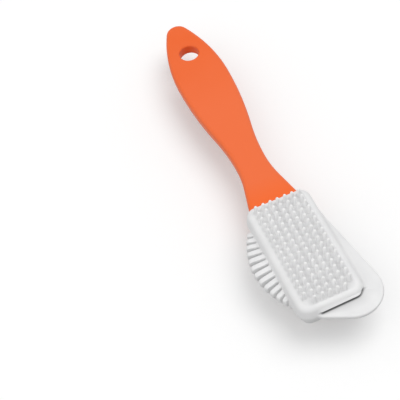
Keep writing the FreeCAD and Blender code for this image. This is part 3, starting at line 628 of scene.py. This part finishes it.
# Tuft anchors: one small flat plate of steel across the bottom of each hole.
# Each tuft is folded over its plate and driven into the block with it, so they hardly show.
# They are cut from strip, bright with a drawn finish.
STRIP_STEEL = (176, 176, 172)
DULL_STEEL = (128, 128, 126)
STEEL_GRAIN = 0.2 * MM
STEEL_DEPTH = 0.01 * MM
STEEL_ROUGHNESS = (0.28, 0.45)
strip_steel, shader = new_material("strip_steel", roughness=0.35, metallic=1.0)
fine = cloud(strip_steel, STEEL_GRAIN)
colour = mix_colours(strip_steel, fine, STRIP_STEEL, DULL_STEEL)
finish_surface(strip_steel, shader, colour, spread(strip_steel, fine, NOISE_VALUES, STEEL_ROUGHNESS))
grain(strip_steel, shader, fine, STEEL_DEPTH)
dress("tuft_anchors", strip_steel)

# Nylon tufts: bundles of milky nylon filament round the edge of the block, for lifting dust.
# Each bundle is folded over an anchor, so it fills its hole and fans out to a trimmed end.
# The outer bundles lean outwards a little.
BLOCK_FACE = block_low.z
TUFT_COLUMNS = 4
TUFT_ROWS = 6
TUFT_SIDE_INSET = 1.9 * MM
TUFT_END_INSET = 2.6 * MM
TUFT_ROOT_RADIUS = 1.12 * MM
GOLDEN_TURN = math.pi * (3 - math.sqrt(5))
TURN_JITTER = 0.3
TIP_REACH_SHARES = (0.8, 1.0)
FAN_POWER = 1.25
TUBE_SIDES = 5
TRIM_SPREAD = 0.45 * MM
FILAMENT_SMOOTH_DEGREES = 60
NYLON_FILAMENTS = 46
NYLON_RADIUS = 0.15 * MM
NYLON_STEPS = 7
NYLON_BOW = 0.25 * MM
MILKY_NYLON = (248, 247, 244)
CLEAR_NYLON = (238, 236, 231)
NYLON_IOR = 1.53
NYLON_PATCH = 0.6 * MM
NYLON_GRAIN = 0.15 * MM
NYLON_DEPTH = 0.005 * MM
NYLON_ROUGHNESS = (0.26, 0.4)


def tube(corners, faces, path, radius):
    """Adds one closed thin tube along a path that runs mostly up and down."""
    first = len(corners)
    for place in path:
        for side in range(TUBE_SIDES):
            turn = 2 * math.pi * side / TUBE_SIDES
            corners.append(place + radius * Vector((math.cos(turn), math.sin(turn), 0)))
    for ring in range(len(path) - 1):
        low, high = first + ring * TUBE_SIDES, first + (ring + 1) * TUBE_SIDES
        for side in range(TUBE_SIDES):
            after = (side + 1) % TUBE_SIDES
            faces.append((low + side, low + after, high + after, high + side))
    last = first + (len(path) - 1) * TUBE_SIDES
    faces.append(list(range(first, first + TUBE_SIDES)))
    faces.append(list(range(last, last + TUBE_SIDES)))


def tuft_frame(kind, number, column, row):
    """Root place, tip place and tip radius of one tuft, and the level of its root."""
    low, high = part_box(f"{kind}_tuft_{number:02d}")
    pitch_across = (block_high.x - block_low.x - 2 * TUFT_SIDE_INSET) / (TUFT_COLUMNS - 1)
    pitch_along = (block_high.y - block_low.y - 2 * TUFT_END_INSET) / (TUFT_ROWS - 1)
    root = Vector((block_low.x + TUFT_SIDE_INSET + column * pitch_across,
                   block_high.y - TUFT_END_INSET - row * pitch_along))
    return root, ((low + high) / 2).xy, (high.x - low.x) / 2, high.z


def bristles(kind, number, column, row, count, radius, steps, bend):
    """All the filaments of one tuft, each from its root in the hole to its trimmed end."""
    root, tip, tip_radius, root_level = tuft_frame(kind, number, column, row)
    luck = random.Random(f"{kind} {number}")
    corners, faces = [], []
    for filament in range(count):
        turn = filament * GOLDEN_TURN + luck.uniform(-TURN_JITTER, TURN_JITTER)
        away = math.sqrt((filament + 0.5) / count) * Vector((math.cos(turn), math.sin(turn)))
        reach = (tip_radius - radius) * luck.uniform(*TIP_REACH_SHARES)
        start = root + away * (TUFT_ROOT_RADIUS - radius)
        end = tip + away * reach
        trim = luck.uniform(0, TRIM_SPREAD)
        wave = bend(luck)
        path = []
        for step in range(steps + 1):
            level = root_level + (trim - root_level) * step / steps
            share = max((BLOCK_FACE - level) / (BLOCK_FACE - trim), 0.0)
            place = start.lerp(end, share ** FAN_POWER) + wave(share)
            path.append(Vector((place.x, place.y, level)))
        tube(corners, faces, path, radius)
    return corners, faces


def straight_with_bow(luck):
    """A filament with a slight bow of its own."""
    bow = Vector((luck.uniform(-1, 1), luck.uniform(-1, 1))) * NYLON_BOW
    return lambda share: bow * math.sin(share * math.pi)


nylon_filament, shader = new_material("nylon_filament", roughness=0.32)
shader.inputs["IOR"].default_value = NYLON_IOR
drift = cloud(nylon_filament, NYLON_PATCH)
colour = mix_colours(nylon_filament, drift, MILKY_NYLON, CLEAR_NYLON)
finish_surface(nylon_filament, shader, colour, spread(nylon_filament, drift, NOISE_VALUES, NYLON_ROUGHNESS))
grain(nylon_filament, shader, cloud(nylon_filament, NYLON_GRAIN), NYLON_DEPTH)
tufts = {"nylon": [], "wire": []}
for row in range(TUFT_ROWS):
    for column in range(TUFT_COLUMNS):
        inner = 0 < column < TUFT_COLUMNS - 1 and 0 < row < TUFT_ROWS - 1
        tufts["wire" if inner else "nylon"].append((column, row))
for number, (column, row) in enumerate(tufts["nylon"], start=1):
    skin = bristles("nylon", number, column, row,
                    NYLON_FILAMENTS, NYLON_RADIUS, NYLON_STEPS, straight_with_bow)
    piece = new_piece(f"nylon_bristles_{number:02d}", *skin, nylon_filament, "nylon_bristle",
                      FILAMENT_SMOOTH_DEGREES)
    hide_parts(f"nylon_tuft_{number:02d}")

# Wire tufts: bundles of crimped bronze wire in the middle of the block, for raising a flattened nap.
# They are fixed as the nylon tufts are. The crimp keeps the wires apart, so each bundle looks bushy.
# The wire is dark brown, in lighter and darker stretches where it is tarnished.
WIRE_FILAMENTS = 30
WIRE_RADIUS = 0.14 * MM
WIRE_STEPS = 22
CRIMP_LENGTH = 2.1 * MM
CRIMP_HEIGHT = 0.24 * MM
CRIMP_FULL_SHARE = 0.15
BROWN_WIRE = (104, 66, 40)
DARK_WIRE = (58, 34, 22)
TARNISH_PATCH = 0.8 * MM
WIRE_GRAIN = 0.15 * MM
WIRE_DEPTH = 0.01 * MM
WIRE_ROUGHNESS = (0.32, 0.5)


def crimped(luck):
    """A wire with an even crimp in a plane of its own, starting below the block's face."""
    turn = luck.uniform(0, 2 * math.pi)
    start = luck.uniform(0, 2 * math.pi)
    plane = Vector((math.cos(turn), math.sin(turn))) * CRIMP_HEIGHT
    waves = 2 * math.pi * BLOCK_FACE / CRIMP_LENGTH
    return lambda share: plane * math.sin(start + share * waves) * smooth_step(share, 0.0, CRIMP_FULL_SHARE)


bronze_wire, shader = new_material("bronze_wire", roughness=0.4, metallic=0.85)
drift = cloud(bronze_wire, TARNISH_PATCH)
tarnish = spread(bronze_wire, drift, NOISE_VALUES, (0.0, 1.0))
colour = mix_colours(bronze_wire, tarnish, BROWN_WIRE, DARK_WIRE)
finish_surface(bronze_wire, shader, colour, spread(bronze_wire, drift, NOISE_VALUES, WIRE_ROUGHNESS))
grain(bronze_wire, shader, cloud(bronze_wire, WIRE_GRAIN), WIRE_DEPTH)
for number, (column, row) in enumerate(tufts["wire"], start=1):
    skin = bristles("wire", number, column, row, WIRE_FILAMENTS, WIRE_RADIUS, WIRE_STEPS, crimped)
    piece = new_piece(f"wire_bristles_{number:02d}", *skin, bronze_wire, "wire_bristle",
                      FILAMENT_SMOOTH_DEGREES)
    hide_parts(f"wire_tuft_{number:02d}")

# Floor: a plain white sheet of paper under the brush, which keeps its shadow and runs out of view.
# It looks white where the camera sees it, and throws back only a mid grey's light on the brush.
FLOOR_SIDE = 6.0
FLOOR_DROP = 0.05 * MM
FLOOR_WHITE = (243, 243, 243)
FLOOR_GREY = (165, 165, 165)
FLOOR_LIFT = 0.16
PURE_WHITE = (1.0, 1.0, 1.0, 1.0)
floor_mesh = bpy.data.meshes.new("floor")
half = FLOOR_SIDE / 2
floor_corners = [(x * half, y * half, -FLOOR_DROP) for x, y in ((-1, -1), (1, -1), (1, 1), (-1, 1))]
floor_mesh.from_pydata(floor_corners, [], [(0, 1, 2, 3)])
floor = bpy.data.objects.new("floor", floor_mesh)
bpy.context.scene.collection.objects.link(floor)
floor_paper, shader = new_material("floor_paper", roughness=0.9, specular=0.0)
shader.inputs["Emission Color"].default_value = PURE_WHITE


def direct_sight(tree):
    """Output that is 1 where the camera looks, straight or by gloss or glass, and 0 for other light."""
    path = tree.nodes.new("ShaderNodeLightPath")
    seen = path.outputs["Is Camera Ray"]
    for kind in ("Is Glossy Ray", "Is Transmission Ray"):
        either = tree.nodes.new("ShaderNodeMath")
        either.operation = "MAXIMUM"
        tree.links.new(seen, either.inputs[0])
        tree.links.new(path.outputs[kind], either.inputs[1])
        seen = either.outputs["Value"]
    return seen


seen = direct_sight(floor_paper.node_tree)
floor_colour = mix_colours(floor_paper, seen, FLOOR_GREY, FLOOR_WHITE)
floor_paper.node_tree.links.new(floor_colour, shader.inputs["Base Color"])
lift = spread(floor_paper, seen, (0.0, 1.0), (0.0, FLOOR_LIFT))
floor_paper.node_tree.links.new(lift, shader.inputs["Emission Strength"])
floor_mesh.materials.append(floor_paper)

# Light: an even white studio. A broad soft lamp stands high on the right of the head,
# and a weaker one without a shadow of its own fills in from the front left.
AMBIENT = 0.56
# Each lamp's strength, softness in degrees, direction that it shines from, and whether it casts a shadow.
LAMPS = {"soft_lamp": (0.95, 45.0, Vector((0.40, 0.0, 1.0)), True),
         "fill_lamp": (0.6, 60.0, Vector((-0.9, -0.4, 0.7)), False)}
world = bpy.data.worlds.new("studio")
world.use_nodes = True
bpy.context.scene.world = world
tree = world.node_tree
background = tree.nodes["Background"]
background.inputs["Color"].default_value = PURE_WHITE
level = tree.nodes.new("ShaderNodeMapRange")
level.inputs["To Min"].default_value = AMBIENT
level.inputs["To Max"].default_value = 1.0
tree.links.new(direct_sight(tree), level.inputs["Value"])
tree.links.new(level.outputs["Result"], background.inputs["Strength"])
for name, (strength, softness, source, shadow) in LAMPS.items():
    lamp = bpy.data.lights.new(name, "SUN")
    lamp.energy = strength
    lamp.angle = math.radians(softness)
    lamp.use_shadow = shadow
    stand = bpy.data.objects.new(name, lamp)
    stand.rotation_mode = "QUATERNION"
    stand.rotation_quaternion = (-source).to_track_quat("-Z", "Y")
    bpy.context.scene.collection.objects.link(stand)
bpy.context.scene.view_settings.view_transform = "Standard"

# Camera: a long lens above the front of the head, turned so that the handle runs up to the left.
# Its place and lens were fitted to the nubs' rows and the handle's outline in the photograph.
CAMERA_AZIMUTH = math.radians(11.98)
CAMERA_ELEVATION = math.radians(52.13)
CAMERA_ROLL = math.radians(-12.81)
CAMERA_DISTANCE = 535.9 * MM
CAMERA_TARGET = Vector((-26.3, -11.58, 21.0)) * MM
FOCAL_PIXELS = 1372.0
PICTURE_WIDTH = 400
ahead = Vector((math.sin(CAMERA_AZIMUTH) * math.cos(CAMERA_ELEVATION),
                math.cos(CAMERA_AZIMUTH) * math.cos(CAMERA_ELEVATION), -math.sin(CAMERA_ELEVATION)))
level_right = Vector((math.cos(CAMERA_AZIMUTH), -math.sin(CAMERA_AZIMUTH), 0))
level_up = level_right.cross(ahead)
right = level_right * math.cos(CAMERA_ROLL) + level_up * math.sin(CAMERA_ROLL)
up = level_up * math.cos(CAMERA_ROLL) - level_right * math.sin(CAMERA_ROLL)
camera_data = bpy.data.cameras.new("camera")
camera_data.lens = FOCAL_PIXELS / PICTURE_WIDTH * camera_data.sensor_width
camera = bpy.data.objects.new("camera", camera_data)
camera.matrix_world = (Matrix.Translation(CAMERA_TARGET - ahead * CAMERA_DISTANCE)
                       @ Matrix((right, up, -ahead)).transposed().to_4x4())
bpy.context.scene.collection.objects.link(camera)
bpy.context.scene.camera = camera
